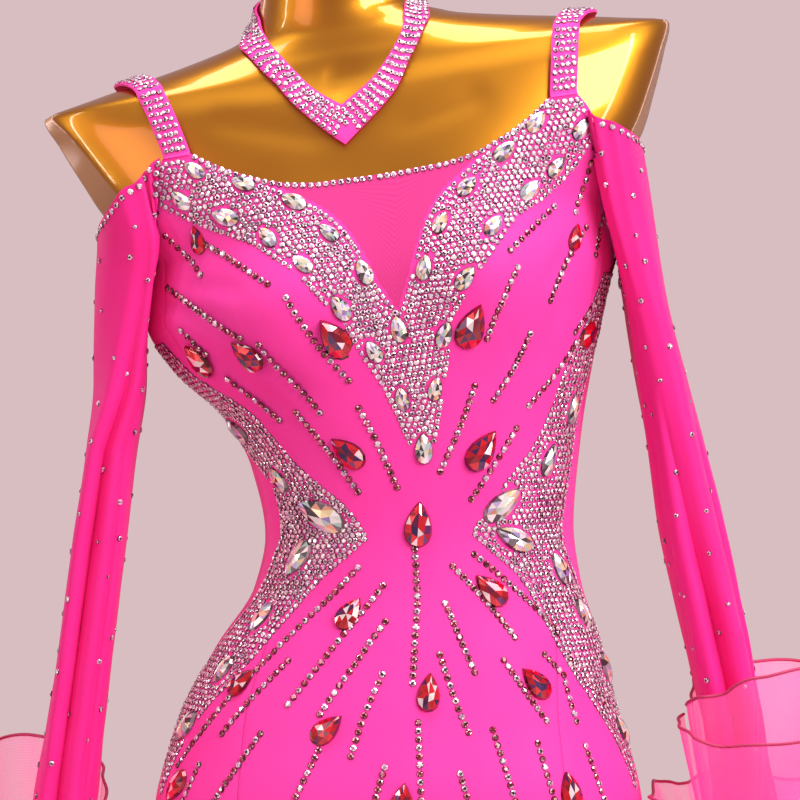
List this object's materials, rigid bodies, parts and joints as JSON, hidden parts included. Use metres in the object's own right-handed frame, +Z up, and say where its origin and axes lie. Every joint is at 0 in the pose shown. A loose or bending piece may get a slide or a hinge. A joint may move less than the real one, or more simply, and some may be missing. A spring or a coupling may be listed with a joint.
{
  "type": "ballroom dance gown on a dress form",
  "caption": "Long-sleeved stretch ballroom gown with stone-set bodice, organza ruffle cuffs and flared skirt, worn by a limbless dress form on a pole stand.",
  "frame": {"origin": "centre of the underside of the stand's round base plate", "axes": "+Z up the pole, -Y towards the gown's front, +X towards the viewer's right as they face the front"},
  "size_m": [1.0122, 1.0253, 1.4883],
  "materials": {
    "crepe": "smooth stretch crepe, hot pink, soft sheen",
    "mesh": "fine matt power mesh, rose pink",
    "stone_band": "stretch band set all over with clear stones",
    "organza": "sheer crisp organza, pale pink, corded edge",
    "gold": "high-gloss gold lacquer"
  },
  "bodies": {
    "root": {"bodice_front": "crepe", "bodice_side_right": "crepe", "bodice_side_left": "crepe", "bodice_back": "crepe", "neck_inset": "mesh", "choker": "stone_band", "strap_left": "stone_band", "strap_right": "stone_band", "sleeve_left": "crepe", "sleeve_right": "crepe", "cuff_left_upper": "organza", "cuff_left_lower": "organza", "cuff_right_upper": "organza", "cuff_right_lower": "organza", "skirt_front": "crepe", "skirt_side_front_right": "crepe", "skirt_side_back_right": "crepe", "skirt_back": "crepe", "skirt_side_back_left": "crepe", "skirt_side_front_left": "crepe", "form_torso": "gold", "form_neck_cap": "gold", "stand_pole": "gold", "stand_base": "gold"}
  },
  "joints": []
}
